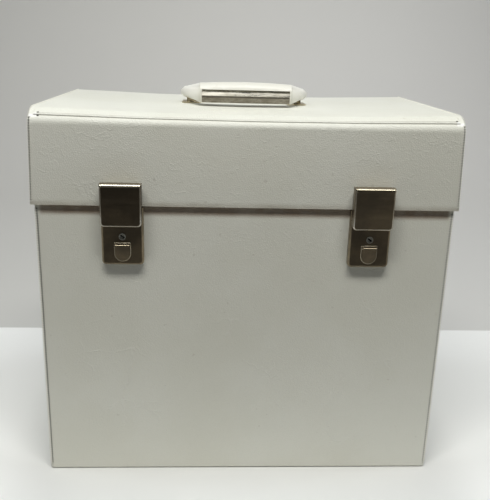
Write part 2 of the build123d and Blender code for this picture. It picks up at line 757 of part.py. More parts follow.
def make_handle():
    half = grip_length / 2
    stations = [half * (2 * i / grip_spans - 1) for i in range(grip_spans + 1)]
    pad = loft([grip_section(x) for x in stations], ruled=True)
    reach = trim_length / 2
    ahead = face_high[0] - 3
    seat = [trim_low, trim_high, (trim_high[0], face_high[1]), (ahead, face_high[1]),
            (ahead, grip_low[1] - 1), (trim_low[0], grip_low[1] - 1)]
    pad -= prism_x([(grip_y + y, grip_z + z) for y, z in seat], -reach, reach)
    crest_y, crest_z = trim_crest
    trim = [trim_low, (trim_low[0] - trim_sheet, trim_low[1]), (crest_y, crest_z - trim_groove),
            (crest_y + trim_groove, crest_z), (crest_y, crest_z + trim_groove),
            (trim_high[0] - trim_sheet, trim_high[1]), trim_high]
    nodes["handle_trim"] = prism_x([(grip_y + y, grip_z + z) for y, z in trim], -reach, reach)

    mid_x = tip_outer - tip_width / 2
    bend_y = pivot_y - tip_straight - 2
    grip_bend = grip_length / 2 + 1
    route = Polyline((-mid_x, pivot_y), (-mid_x, bend_y), (-grip_bend, grip_y), (grip_bend, grip_y),
                     (mid_x, bend_y), (mid_x, pivot_y))
    strap = offset(route, amount=core_thickness / 2, kind=Kind.INTERSECTION, side=Side.BOTH)
    core = extrude(Plane.XY.offset(pivot_z - core_height / 2) * make_face(strap),
                   amount=core_height)
    arm = handle_arm()
    pad += [arm, mirror(arm, about=Plane.YZ)]
    pins, holes = [], []
    for side in (-1, 1):
        x2, x3 = sorted((side * mid_x - core_thickness / 2, side * mid_x + core_thickness / 2))
        core += bar((x2, pivot_y, pivot_z), (x3, pivot_y, pivot_z), core_height / 2)
        start = (side * (lug_inner - handle_pin_head_height), pivot_y, pivot_z)
        end = (side * (tip_outer - handle_pin_stop), pivot_y, pivot_z)
        deep = (side * (tip_outer - handle_pin_stop + slide_clearance), pivot_y, pivot_z)
        head = bar(start, (side * lug_inner, pivot_y, pivot_z), handle_pin_head)
        pins.append(bar(start, end, handle_pin_radius) + head)
        holes.append(bar(start, deep, handle_pin_radius + running_clearance, loose=True))
    for hole in holes:
        core -= hole
        pad -= hole
    nodes["handle_core"] = core
    nodes["handle_pad"] = pad - core
    nodes["handle_pins"] = Compound(children=pins)


def make_handle_brackets():
    """A riveted plate with an upright lug under each end of the handle."""
    backing = []
    for name, side in (("left", -1), ("right", 1)):
        x = side * plate_middle
        seat = lid_top_at(x + side * handle_plate_width / 2)
        y0, y1 = pivot_y - handle_plate_length / 2, pivot_y + handle_plate_length / 2
        plate = block(x - handle_plate_width / 2, x + handle_plate_width / 2, y0, y1,
                      seat, seat + handle_plate_thickness)
        plate = chamfer(plate.edges().filter_by(Axis.Z), handle_plate_corner)
        x0, x1 = sorted((side * lug_inner, side * lug_outer))
        lug = [(pivot_y - lug_foot, seat), (pivot_y + lug_foot, seat),
               (pivot_y + lug_radius, pivot_z), (pivot_y - lug_radius, pivot_z)]
        plate += prism_x(lug, x0, x1)
        brace_foot = side * (plate_middle - handle_plate_width / 2 + brace_inset)
        brace = [(brace_foot, seat), (side * lug_inner, seat),
                 (side * lug_inner, pivot_z - tip_inner_half)]
        plate += prism_y(brace, pivot_y - brace_half, pivot_y + brace_half)
        plate += rod((x0, pivot_y, pivot_z), (x1, pivot_y, pivot_z), lug_radius)
        plate -= bar((x0, pivot_y, pivot_z), (x1, pivot_y, pivot_z), handle_pin_radius)
        nodes["handle_bracket_" + name] = plate
        under = lid_top_at(x - side * handle_plate_width / 2) - wall - lining_thickness
        backing.append(block(x - handle_plate_width / 2, x + handle_plate_width / 2, y0, y1,
                             under - backing_thickness, under))
    nodes["handle_backing_plates"] = Compound(children=backing)


# ---- rivets -----------------------------------------------------------------------------------

def rivet(foot, axis, grip, clinched):
    """Rivet whose head stands on foot, looking along axis, and the shank behind it."""
    foot, axis = Vector(*foot), Vector(*axis)
    back = foot - axis * grip
    face = Plane(origin=foot, z_dir=axis) * RegularPolygon(rivet_head_radius, rivet_head_sides)
    head = extrude(face, amount=rivet_head_height, taper=35)
    shank = extrude(Plane(origin=back, z_dir=axis) * RegularPolygon(rivet_radius,
                                                                   rivet_shank_sides),
                    amount=grip)
    whole = head + shank
    if clinched:
        tail = Plane(origin=back, z_dir=-axis) * RegularPolygon(rivet_head_radius,
                                                                rivet_shank_sides)
        whole += extrude(tail, amount=rivet_tail_height)
    return whole, shank


def set_rivets(places, pierced, clinched=False):
    """Rivets at the given places, and their holes in the pieces that they hold."""
    made = []
    for foot, axis, grip in places:
        body, shank = rivet(foot, axis, grip, clinched)
        made.append(body)
        for name in pierced:
            nodes[name] = nodes[name] - shank
    return made


def make_rivets():
    """Rivets clinched in the boards under the lining; only the handle's go right through."""
    body, lid = [], []
    leaf_y = half_depth + hinge_leaf_thickness
    leaf_z = hinge_barrel_radius + knuckle_gap + hinge_leaf_height * hinge_rivet_rise
    leaf_x = hinge_width * hinge_rivet_share
    lock_x = lock_width * lock_rivet_share
    for name, x in (("left", -hinge_x), ("right", hinge_x)):
        grip = hinge_leaf_thickness + wall
        for dx in (-leaf_x, leaf_x):
            body += set_rivets([((x + dx, leaf_y, seam_height - leaf_z), (0, 1, 0), grip)],
                               ["hinge_" + name + "_body_leaf", "body_back_cover",
                                "body_back_board"])
            lid += set_rivets([((x + dx, leaf_y, seam_height + leaf_z), (0, 1, 0), grip)],
                              ["hinge_" + name + "_lid_leaf", "lid_wrap_cover",
                               "lid_back_board"])
    lock_y = -half_depth - lock_plate_thickness
    for name, x in (("left", -latch_x), ("right", latch_x)):
        for dx, z in ((-lock_x, lock_bottom + lock_rivet_inset),
                      (lock_x, lock_top - lock_rivet_inset)):
            body += set_rivets([((x + dx, lock_y, z), (0, -1, 0), lock_plate_thickness + wall)],
                               ["lock_plate_" + name, "body_front_cover", "body_front_board"])
        for dx in (-bracket_rivet_side, bracket_rivet_side):
            lid += set_rivets([((x + dx, lid_front - bracket_sheet,
                                 seam_height + bracket_rivet_rise),
                                (0, -1, 0), bracket_sheet + wall)],
                              ["hasp_bracket_" + name, "lid_wrap_cover", "lid_front_board"])
    for name, side in (("left", -1), ("right", 1)):
        x = side * plate_middle
        top = lid_top_at(x + side * handle_plate_width / 2) + handle_plate_thickness
        under = lid_top_at(x - side * handle_plate_width / 2) - wall - lining_thickness
        grip = top - under + backing_thickness
        for dy in (-handle_rivet_spacing / 2, handle_rivet_spacing / 2):
            lid += set_rivets([((x, pivot_y + dy, top), (0, 0, 1), grip)],
                              ["handle_bracket_" + name, "lid_wrap_cover", "lid_top_board",
                               "lid_lining", "handle_backing_plates"], clinched=True)
    nodes["body_rivets"] = Compound(children=body)
    nodes["lid_rivets"] = Compound(children=lid)


def main():
    make_body_covers()
    make_body_boards()
    make_collar()
    make_body_lining()
    make_lid_shell()
    make_hinges()
    make_latches()
    make_handle()
    make_handle_brackets()
    make_rivets()
    for name, shape in nodes.items():
        export_step(shape, "parts/" + name + ".step")


main()
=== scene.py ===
import json
import math
import random

import bmesh
import bpy
from mathutils import Matrix, Vector


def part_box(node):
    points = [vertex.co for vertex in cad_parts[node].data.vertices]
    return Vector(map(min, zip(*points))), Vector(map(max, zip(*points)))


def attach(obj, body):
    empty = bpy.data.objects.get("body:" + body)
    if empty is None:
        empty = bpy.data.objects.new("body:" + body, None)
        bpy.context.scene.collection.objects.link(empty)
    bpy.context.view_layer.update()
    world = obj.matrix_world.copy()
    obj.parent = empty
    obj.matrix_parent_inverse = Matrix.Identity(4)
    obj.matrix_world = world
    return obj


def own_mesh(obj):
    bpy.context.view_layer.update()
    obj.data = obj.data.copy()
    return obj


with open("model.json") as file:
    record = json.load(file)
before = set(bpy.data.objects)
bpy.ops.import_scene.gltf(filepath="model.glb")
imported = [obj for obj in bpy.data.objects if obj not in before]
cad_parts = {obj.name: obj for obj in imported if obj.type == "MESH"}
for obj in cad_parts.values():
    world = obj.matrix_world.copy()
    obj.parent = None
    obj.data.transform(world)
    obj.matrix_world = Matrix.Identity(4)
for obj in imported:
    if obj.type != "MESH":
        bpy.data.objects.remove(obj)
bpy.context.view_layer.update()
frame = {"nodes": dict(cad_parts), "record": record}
nodes = frame["nodes"]
random.seed(7)
MM = 0.001

# ---- sizes of the CAD part that the sewing and the marks follow, in millimetres ---------------

BODY_HALF_WIDTH = 175.0
BODY_HALF_DEPTH = 107.0
BODY_EDGE_RADIUS = 2.4
SEAM_HEIGHT = 250.5
CASE_HEIGHT = 328.0
LID_HALF_WIDTH = 177.5     # at the seam
LID_LEAN = 2.6             # each end leans in by this over the lid's height
LID_SLOPE = LID_LEAN / (CASE_HEIGHT - SEAM_HEIGHT)
LID_FRONT = 109.5          # in front of the middle
ROLL_RUN = 18.0            # rolled front corner, front to back
ROLL_DROP = 13.0           # and top to bottom
HASP_CORNER = 3.2
LOCK_CORNER = 3.4

# ---- camera: placed by back-projection of the case's corners ----------------------------------

CAMERA_PLACE = Vector((-30.95, -655.50, 381.53)) * MM
YAW, PITCH, ROLL = (math.radians(a) for a in (3.10, -17.02, 1.63))
FOCAL_PX = 679.03
IMAGE_LONG_SIDE = 500
SENSOR_WIDTH = 36
NEAR_CLIP = 0.01


def make_camera():
    """Camera that looks along yaw and pitch, turned about its own axis by the roll."""
    forward = Vector((math.sin(YAW) * math.cos(PITCH), math.cos(YAW) * math.cos(PITCH),
                      math.sin(PITCH)))
    right = Vector((math.cos(YAW), -math.sin(YAW), 0))
    up = right.cross(forward)
    across = math.cos(ROLL) * right + math.sin(ROLL) * up
    upward = -math.sin(ROLL) * right + math.cos(ROLL) * up
    data = bpy.data.cameras.new("camera")
    data.sensor_width = SENSOR_WIDTH
    data.lens = SENSOR_WIDTH * FOCAL_PX / IMAGE_LONG_SIDE
    data.clip_start = NEAR_CLIP
    camera = bpy.data.objects.new("camera", data)
    turn = Matrix((across, upward, -forward)).transposed().to_4x4()
    camera.matrix_world = Matrix.Translation(CAMERA_PLACE) @ turn
    bpy.context.scene.collection.objects.link(camera)
    bpy.context.scene.camera = camera


# ---- material helpers -------------------------------------------------------------------------

MIX_SHARE, MIX_A, MIX_B = 0, 6, 7   # a mix node's share and its two colours


class Shader:
    """A node material with short calls for the usual nodes.

    Lengths are in metres, and a noise's scale is in features per metre.
    """

    def __init__(self, name):
        self.material = bpy.data.materials.new(name)
        self.material.use_nodes = True
        self.tree = self.material.node_tree
        self.bsdf = self.tree.nodes["Principled BSDF"]
        self.place = self.tree.nodes.new("ShaderNodeTexCoord").outputs["Object"]

    def feed(self, socket, value):
        """Link an input to a node's output, or set it to a plain value."""
        if isinstance(value, bpy.types.NodeSocket):
            self.tree.links.new(value, socket)
        else:
            socket.default_value = value

    def node(self, kind, **inputs):
        made = self.tree.nodes.new(kind)
        for key, value in inputs.items():
            self.feed(made.inputs[key.replace("_", " ")], value)
        return made

    def axis(self, letter):
        return self.node("ShaderNodeSeparateXYZ", Vector=self.place).outputs[letter]

    def stretch(self, scale, turn=(0, 0, 0)):
        mapping = self.node("ShaderNodeMapping", Vector=self.place, Scale=scale, Rotation=turn)
        return mapping.outputs["Vector"]

    def warp(self, scale, amount):
        """Place pushed about by noise, for lines that wander."""
        noise = self.node("ShaderNodeTexNoise", Vector=self.place, Scale=scale)
        moved = self.node("ShaderNodeVectorMath")
        moved.operation = "MULTIPLY_ADD"
        parts = (noise.outputs["Color"], (amount,) * 3, self.place)
        for socket, value in zip(moved.inputs, parts):
            self.feed(socket, value)
        return moved.outputs[0]

    def noise(self, scale, detail=3.0, roughness=0.55, vector=None):
        made = self.node("ShaderNodeTexNoise", Vector=vector or self.place, Scale=scale,
                         Detail=detail, Roughness=roughness)
        return made.outputs["Fac"]

    def cell_edges(self, scale, vector):
        """Distance to the nearest border between cells."""
        made = self.node("ShaderNodeTexVoronoi", Vector=vector, Scale=scale, Randomness=1.0)
        made.feature = "DISTANCE_TO_EDGE"
        return made.outputs["Distance"]

    def ramp(self, value, low, high, out_low=0.0, out_high=1.0):
        """Smooth step from out_low at low to out_high at high."""
        made = self.node("ShaderNodeMapRange", Value=value, From_Min=low, From_Max=high,
                         To_Min=out_low, To_Max=out_high)
        made.interpolation_type = "SMOOTHSTEP"
        return made.outputs["Result"]

    def band(self, value, low, high, soft):
        """1 between low and high, fading over soft at both ends."""
        return self.times(self.ramp(value, low - soft, low + soft),
                          self.ramp(value, high - soft, high + soft, 1.0, 0.0))

    def math(self, operation, a, b=0.0):
        made = self.node("ShaderNodeMath")
        made.operation = operation
        for socket, value in zip(made.inputs, (a, b)):
            self.feed(socket, value)
        return made.outputs[0]

    def times(self, first, *others):
        for other in others:
            first = self.math("MULTIPLY", first, other)
        return first

    def less(self, a, b):
        return self.math("SUBTRACT", a, b)

    def size(self, value):
        return self.math("ABSOLUTE", value)

    def length(self, a, b):
        return self.math("SQRT", self.math("ADD", self.times(a, a), self.times(b, b)))

    def inside(self, low, high, corner):
        """Depth in from the round-cornered outline of a box seen from the front."""
        reach = []
        for letter, k in (("X", 0), ("Z", 2)):
            middle, half = (low[k] + high[k]) / 2, (high[k] - low[k]) / 2
            away = self.size(self.less(self.axis(letter), middle))
            reach.append(self.less(away, half - corner))
        round_part = self.length(*(self.math("MAXIMUM", v, 0.0) for v in reach))
        flat_part = self.math("MINIMUM", self.math("MAXIMUM", *reach), 0.0)
        outside = self.less(self.math("ADD", round_part, flat_part), corner)
        return self.times(outside, -1.0)

    def mix(self, share, a, b):
        """Colour a where the share is 0 and b where it is 1."""
        made = self.node("ShaderNodeMix")
        made.data_type = "RGBA"
        for place, value in ((MIX_SHARE, share), (MIX_A, a), (MIX_B, b)):
            self.feed(made.inputs[place], opaque(value))
        return made.outputs[2]

    def bumps(self, *layers):
        """Bump nodes in a row; each layer is (height, distance, strength)."""
        normal = None
        for height, distance, strength in layers:
            made = self.node("ShaderNodeBump", Height=height, Distance=distance,
                             Strength=strength)
            if normal:
                self.feed(made.inputs["Normal"], normal)
            normal = made.outputs["Normal"]
        self.feed(self.bsdf.inputs["Normal"], normal)

    def finish(self, **inputs):
        for key, value in inputs.items():
            self.feed(self.bsdf.inputs[key.replace("_", " ")], opaque(value))
        return self.material


def opaque(value):
    """A plain colour with its alpha; anything else as it is."""
    return (*value, 1.0) if isinstance(value, tuple) else value


def shade(colour, strength):
    return tuple(strength * c for c in colour)


# ---- cloth, thread, dirt, painted shade and light ---------------------------------------------

VINYL = (0.835, 0.835, 0.755)
VINYL_YELLOWED = (0.800, 0.797, 0.708)
VINYL_PIT = (0.62, 0.60, 0.52)
VINYL_CREASED = (0.93, 0.93, 0.88)
# vinyl lightened as painted light
VINYL_PAINTED_LIGHT = (0.97, 0.97, 0.93)
SCUFF = (0.55, 0.52, 0.44)
# brown of the painted shadow under the lid's front edge
UNDER_LID_SHADOW_BROWN = (0.215, 0.125, 0.065)
# colour of the painted shade in the lid bead's upper crease
BEAD_CREASE_SHADE = (0.16, 0.14, 0.10)
# colour the lid turns towards its lower edge
HEM_DARKENING = (0.36, 0.32, 0.24)
# colour of the painted shade along the lid's sewn front edges
LID_SEAM_SHADE = (0.34, 0.31, 0.23)
# colour of the painted shade along the body's corner seams
BODY_SEAM_SHADE = (0.26, 0.24, 0.17)

# In metres: where each mark begins and where it is full.
BODY_FACE = (-0.1062, -0.1068)
UNDER_LID_SHADOW_HEIGHTS = (0.2402, 0.2452)
UNDER_LID_SHADOW_ENDS = (0.1725, 0.1685)
BODY_SEAM_REACH = (0.1712, 0.1735)
LID_FACE = (-0.1075, -0.1090)
LID_TOP = (0.312, 0.316)
BEAD_CREASE = (-0.10490, -0.10350)
BEAD_CREASE_ENDS = (0.1690, 0.1675)
BEAD = (-0.1076, -0.1056)
PAST_BEAD = (0.168, 0.169)
HEM_HEIGHTS = (0.2560, 0.2512)
LID_SEAM_DEPTH = (0.0030, 0.0008)
LID_SEAM_TOP = (0.315, 0.308)


def vinyl(name, marks, folds):
    """White leathercloth: wrinkled grain, folds, creases, yellowing and a few scuffs."""
    s = Shader(name)
    grain = s.cell_edges(620, s.warp(420, 0.0012))
    pebble = s.ramp(grain, 0.0, 0.35)
    fine = s.noise(2600, 2)
    drift = s.noise(9, 3)
    crease = s.times(s.ramp(s.cell_edges(26, s.warp(60, 0.02)), 0.0, 0.022, 1.0, 0.0),
                     s.ramp(s.noise(14, 2), 0.52, 0.66))
    wrinkle = s.noise(210, 3, 0.6, s.warp(90, 0.004))
    ridge = s.size(s.less(s.noise(58, 3, 0.5, s.warp(40, 0.012)), 0.5))
    fold = s.times(s.ramp(ridge, 0.0, 0.028, 1.0, 0.0), s.ramp(s.noise(30, 2), 0.45, 0.6))
    scuff = s.ramp(s.noise(170, 2, 0.4), 0.735, 0.78)
    tint = s.mix(s.ramp(drift, 0.35, 0.65), VINYL_YELLOWED, VINYL)
    tint = s.mix(s.times(s.ramp(grain, 0.0, 0.12, 1.0, 0.0), 0.10), tint, VINYL_PIT)
    tint = s.mix(s.times(crease, 0.12), tint, VINYL_CREASED)
    tint = s.mix(s.times(scuff, 0.35), tint, SCUFF)
    s.bumps((drift, 0.0012, 0.25), (crease, 0.00025, 0.6), (wrinkle, 0.00026, 0.6),
            (fold, 0.00022, folds), (pebble, 0.00012, 0.75), (fine, 0.00003, 0.5))
    return s.finish(Base_Color=marks(s, tint), Specular_IOR_Level=0.42,
                    Roughness=s.ramp(s.noise(38, 4), 0.3, 0.7, 0.40, 0.52))


def body_marks(s, tint):
    """Brown band under the lid's front edge: painted shadow with rubbed-in dirt; painted shade
    along the corner seams, stronger towards the top.
    """
    z, across = s.axis("Z"), s.size(s.axis("X"))
    # painted shadow under the lid's front edge, brown with rubbed-in dirt
    under_lid_shadow = s.times(s.ramp(z, *UNDER_LID_SHADOW_HEIGHTS), s.ramp(across, *UNDER_LID_SHADOW_ENDS),
                  s.ramp(s.axis("Y"), *BODY_FACE),
                  s.ramp(s.noise(60, 3, 0.6), 0.25, 0.75, 0.66, 0.82))
    tint = s.mix(under_lid_shadow, tint, UNDER_LID_SHADOW_BROWN)
    # painted shade along the corner seams, stronger towards the top
    seam_shade = s.times(s.ramp(across, *BODY_SEAM_REACH), s.ramp(z, 0.0, 0.24, 0.15, 0.50))
    return s.mix(seam_shade, tint, BODY_SEAM_SHADE)


def lid_marks(s, tint):
    """Painted shade in the bead's upper crease, stronger towards the right; painted light on the
    bead's line past its ends; darker towards the hem; painted shade along the sewn front edges.
    """
    x, y, z = s.axis("X"), s.axis("Y"), s.axis("Z")
    across, top, front = s.size(x), s.ramp(z, *LID_TOP), s.ramp(y, *LID_FACE)
    # painted shade in the bead's upper crease, stronger towards the right
    crease = s.times(s.band(y, *BEAD_CREASE, 0.0002), s.ramp(x, -0.17, -0.02, 0.35, 0.60), top,
                     s.ramp(across, *BEAD_CREASE_ENDS))
    tint = s.mix(crease, tint, BEAD_CREASE_SHADE)
    # painted light on the bead's line past its ends, against the groove's shade
    past = s.times(s.band(y, *BEAD, 0.0002), s.ramp(across, *PAST_BEAD), top)
    tint = s.mix(past, tint, VINYL_PAINTED_LIGHT)
    # darker towards the lid's lower edge
    hem = s.times(s.ramp(z, *HEM_HEIGHTS), front, s.ramp(s.noise(40, 3), 0.3, 0.7, 0.30, 0.60))
    tint = s.mix(hem, tint, HEM_DARKENING)
    # painted shade along the sewn front edges of the lid's ends
    slant = s.times(s.less(z, SEAM_HEIGHT * MM), LID_SLOPE)
    inward = s.less(s.less(LID_HALF_WIDTH * MM, slant), across)
    seam_shade = s.times(s.ramp(inward, *LID_SEAM_DEPTH), s.ramp(z, *LID_SEAM_TOP), front, 0.15)
    return s.mix(seam_shade, tint, LID_SEAM_SHADE)


def thread():
    """Pale sewing thread with a twist."""
    s = Shader("thread")
    twist = s.node("ShaderNodeTexWave", Vector=s.stretch((1, 1, 1), (0.6, 0.6, 0)), Scale=900.0)
    tint = s.mix(s.noise(700, 2), (0.90, 0.88, 0.79), (0.97, 0.96, 0.90))
    s.bumps((twist.outputs["Fac"], 0.0001, 0.6))
    return s.finish(Base_Color=tint, Roughness=0.8)


def dark_hole():
    """Painted shade: near-black spots in the needle holes, the punched holes and the gaps between
    stitches.
    """
    s = Shader("needle_hole")
    tint = s.mix(s.noise(900, 2), (0.010, 0.008, 0.006), (0.035, 0.028, 0.020))
    return s.finish(Base_Color=tint, Roughness=0.9)


# ---- metals -----------------------------------------------------------------------------------

DARK_BRONZE = (0.105, 0.086, 0.060)
WARM_BRONZE = (0.160, 0.127, 0.084)
# brass of rubbed specks and patches, and of the painted highlight on the hasps' top edge
BRASS_WEAR_AND_HIGHLIGHT = (0.42, 0.36, 0.26)
# painted highlight on the hasps' top bend
BEND_HIGHLIGHT_BRASS = (0.60, 0.56, 0.46)
# dimmer painted highlight on the right hasp's top bend
DIM_BEND_HIGHLIGHT = (0.30, 0.255, 0.17)
# painted highlight round the hasps' rim
HASP_RIM_HIGHLIGHT = (0.66, 0.63, 0.56)
# painted highlight on the lock case's pressed edge
LOCK_RIM_HIGHLIGHT = (0.36, 0.30, 0.205)
# painted highlights on the release button's outline and its ledge's upper lip
BUTTON_RIM_HIGHLIGHT = (0.56, 0.50, 0.38)
BUTTON_LIP_HIGHLIGHT = (0.40, 0.35, 0.25)
BARREL_FACE = (0.66, 0.66, 0.59)
# near-black painted shade in the key slot and behind the barrel's face
KEY_SLOT_SHADE = (0.02, 0.017, 0.012)
# painted shadow lines under the handle pad's lip and in the strip's crease
TRIM_SHADOW_LINES = (0.055, 0.048, 0.038)
TRIM_CREASE = 0.491        # height of the strip's crease, as a share of the strip


def bronze_base(s, wear_and_painted_light=1.0):
    """Dark bronzed face with warmer clouds; returns its colour and the cloud. The factor paints
    the part's bronze lighter; the right hasp's larger factor is painted light.
    """
    cloud = s.noise(38, 4, 0.55)
    tint = s.mix(s.ramp(cloud, 0.40, 0.72), shade(DARK_BRONZE, wear_and_painted_light), shade(WARM_BRONZE, wear_and_painted_light))
    speck = s.ramp(s.noise(900, 2, 0.5), 0.66, 0.76)
    return s.mix(s.times(speck, 0.25), tint, BRASS_WEAR_AND_HIGHLIGHT), cloud


def bronze_finish(s, tint, cloud, wear_and_painted_light, metallic=1.0):
    """Streaked and scratched surface, smoother where rubbed and where highlights are painted."""
    streak = s.noise(300, 3, 0.6, s.stretch((0.15, 1, 1.6)))
    scratch = s.noise(1300, 2, 0.6, s.stretch((0.06, 1, 1)))
    rough = s.times(s.ramp(streak, 0.3, 0.75, 0.30, 0.46), s.ramp(wear_and_painted_light, 0.0, 1.0, 1.0, 0.8))
    s.bumps((cloud, 0.0002, 0.2), (scratch, 0.00002, 0.5))
    return s.finish(Base_Color=tint, Roughness=rough, Metallic=metallic)


def patches(s, scale, least):
    """How much of a rim's painted highlight is left from place to place, between least and 1,
    patchy like rubbing.
    """
    return s.ramp(s.noise(scale, 3, 0.6), 0.30, 0.62, least, 1.0)


def antique_brass():
    """Bronzed steel for the hinge leaves and the rivets, rubbed in places."""
    s = Shader("antique_brass")
    tint, cloud = bronze_base(s)
    rubbed = s.times(s.ramp(s.noise(120, 4, 0.65), 0.50, 0.72), 0.6)
    return bronze_finish(s, s.mix(rubbed, tint, BRASS_WEAR_AND_HIGHLIGHT), cloud, rubbed)


def bracket_brass():
    """Pale rubbed brass for the handle's brackets and pins."""
    s = Shader("bracket_brass")
    cloud = s.noise(150, 4, 0.6)
    tint = s.mix(s.ramp(cloud, 0.35, 0.68), (0.72, 0.64, 0.46), (0.46, 0.38, 0.23))
    tint = s.mix(s.ramp(s.noise(420, 3, 0.6), 0.60, 0.74), tint, (0.20, 0.16, 0.10))
    return bronze_finish(s, tint, cloud, cloud)


def hasp_metal(name, low, high):
    """Bronzed pan with painted highlights, patchy like rubbed brass, on its top bend, top edge
    and rim, strongest near the foot.
    """
    s = Shader(name)
    right = name.startswith("hasp_right")
    # the right hasp's bronze is painted lighter than the left's, though both are alike: painted
    # light
    tint, cloud = bronze_base(s, 2.1 if right else 1.15)
    z, foot, top = s.axis("Z"), low[2], high[2]
    patch_share = patches(s, 700, 0.65)
    even = patches(s, 260, 0.86)
    sides = s.inside(low, (high[0], high[1], top + 0.1), 0.0001)
    mitre = s.ramp(s.less(sides, s.times(s.less(top, z), 0.55)), 0.00005, 0.0004)
    shoulder = s.times(s.band(z, top - 0.0025, top - 0.0005, 0.00035), s.times(mitre, even))
    # painted highlight along the top edge
    crest = s.times(s.ramp(z, top - 0.0005, top - 0.0001), 0.5)
    # painted highlight round the rim, patchy, strongest near the foot
    rim = s.band(s.inside(low, high, HASP_CORNER * MM), 0.00025, 0.00125, 0.00018)
    rim = s.times(rim, s.times(s.ramp(z, foot + 0.004, foot + 0.014, 1.0, 0.30), patch_share))
    tint = s.mix(rim, tint, HASP_RIM_HIGHLIGHT)
    tint = s.mix(crest, tint, BRASS_WEAR_AND_HIGHLIGHT)
    # painted highlight on the top bend, dimmer on the right hasp
    tint = s.mix(shoulder, tint, DIM_BEND_HIGHLIGHT if right else BEND_HIGHLIGHT_BRASS)
    if right:
        # extra painted highlight line just below the right hasp's top
        line = s.times(s.band(z, top - 0.0011, top - 0.0005, 0.0003), mitre, 0.45)
        tint = s.mix(line, tint, BEND_HIGHLIGHT_BRASS)
    return bronze_finish(s, tint, cloud, s.math("MAXIMUM", rim, shoulder))


def lock_metal(name, low, high):
    """Bronzed lock case with a painted highlight along its pressed edge, in patches like rubbing.
    """
    s = Shader(name)
    tint, cloud = bronze_base(s, 1.5)
    edge = s.inside(low, high, LOCK_CORNER * MM)
    patchy = s.ramp(s.noise(90, 3, 0.6), 0.35, 0.70, 0.35, 0.85)
    # painted highlight along the pressed edge, in patches
    rim = s.times(s.ramp(edge, 0.0006, 0.0024, 1.0, 0.0), patchy)
    return bronze_finish(s, s.mix(rim, tint, LOCK_RIM_HIGHLIGHT), cloud, rim)


def button_metal(name, low, high):
    """Thumb slide with painted highlights, patchy like rubbing, on its plate's outline and the
    ledge's upper lip.
    """
    s = Shader(name)
    tint, cloud = bronze_base(s, 1.9)
    half = (high[0] - low[0]) / 2
    z, middle = s.axis("Z"), low[2] + half
    above = s.ramp(z, middle - 0.0001, middle + 0.0001)
    edge = s.math("ADD", s.times(s.inside(low, high, half), s.less(1.0, above)),
                  s.times(s.inside(low, high, 0.0004), above))
    patch_share = patches(s, 800, 0.55)
    rim = s.times(s.ramp(edge, 0.0005, 0.0011, 1.0, 0.0), patch_share)
    lip = s.times(s.band(z, high[2] - 0.0030, high[2] - 0.0014, 0.0003), patch_share,
                  s.ramp(s.axis("Y"), low[1] + 0.0012, low[1] + 0.0006))
    # painted highlights on the outline and the lip
    tint = s.mix(s.times(rim, 0.9), tint, BUTTON_RIM_HIGHLIGHT)
    tint = s.mix(s.times(lip, 0.8), tint, BUTTON_LIP_HIGHLIGHT)
    return bronze_finish(s, tint, cloud, lip)


def barrel_metal(name, low, high):
    """Key barrel: pale rubbed ring and dished face round a key slot, with painted shade: the dish
    a little darker, its edge darker still, the slot near black.
    """
    s = Shader(name)
    tint, cloud = bronze_base(s)
    radius = (high[2] - low[2]) / 2
    away = s.length(s.less(s.axis("X"), low[0] + radius),
                    s.less(s.axis("Z"), (high[2] + low[2]) / 2))
    # painted shade at the dish's edge
    groove = s.band(away, 0.00195, 0.00215, 0.00008)
    front = s.ramp(s.axis("Y"), low[1] + 0.0015, low[1] + 0.0012)
    patch_share = patches(s, 900, 0.6)
    # painted shade: the dish a little darker than the ring
    face = s.times(s.ramp(away, 0.0020, 0.0023, 0.8, 1.0), s.less(1.0, s.times(groove, 0.6)),
                   front, patch_share)
    # painted shade: near black everywhere behind the face, in the slot too
    tint = s.mix(s.less(1.0, front), tint, KEY_SLOT_SHADE)
    return bronze_finish(s, s.mix(face, tint, BARREL_FACE), cloud, face, 0.4)


def bright_metal():
    """Plated strip on the grip with painted reflections: a bright upper band darkening towards
    the right, a dark lower one mottled like tarnish, and painted shadow lines under the pad's lip
    and in the crease.
    """
    s = Shader("bright_steel")
    low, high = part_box("handle_trim")
    crease = low[2] + (high[2] - low[2]) * TRIM_CREASE
    z = s.axis("Z")
    rubbed = s.noise(420, 4, 0.65, s.stretch((0.12, 1, 1)))
    blot = s.noise(150, 4, 0.62, s.stretch((0.5, 1, 1.4)))
    smear = s.noise(900, 3, 0.6, s.stretch((0.4, 1, 1)))
    upper = s.ramp(z, crease - 0.0003, crease + 0.0003)
    # painted reflection: the bright upper band
    upper_band_reflection = s.mix(s.ramp(blot, 0.46, 0.72), (0.90, 0.87, 0.77), (0.70, 0.66, 0.55))
    # painted reflection that darkens towards the right
    wear_and_painted_light = s.math("ADD", s.axis("X"), s.times(s.noise(110, 3, 0.6), 0.06))
    upper_band_reflection = s.mix(s.times(s.ramp(wear_and_painted_light, 0.030, 0.075), 0.55), upper_band_reflection, (0.40, 0.37, 0.30))
    # painted reflection: the dark lower band, mottled like tarnish
    lower_band_reflection = s.mix(s.ramp(blot, 0.38, 0.62), (0.37, 0.345, 0.29), (0.20, 0.175, 0.135))
    lower_band_reflection = s.mix(s.ramp(smear, 0.45, 0.65), lower_band_reflection, (0.27, 0.245, 0.20))
    # painted shadow under the pad's lip and painted shade in the crease
    grime = s.math("MAXIMUM", s.ramp(z, high[2] - 0.0011, high[2] - 0.0005),
                   s.band(z, crease - 0.0009, crease + 0.0001, 0.0002))
    tint = s.mix(s.times(grime, 0.9), s.mix(upper, lower_band_reflection, upper_band_reflection), TRIM_SHADOW_LINES)
    rough = s.math("ADD", s.ramp(rubbed, 0.3, 0.7, 0.22, 0.42),
                   s.times(s.less(1.0, upper), 0.22))
    s.bumps((rubbed, 0.00005, 0.4))
    return s.finish(Base_Color=tint, Roughness=rough, Metallic=1.0)


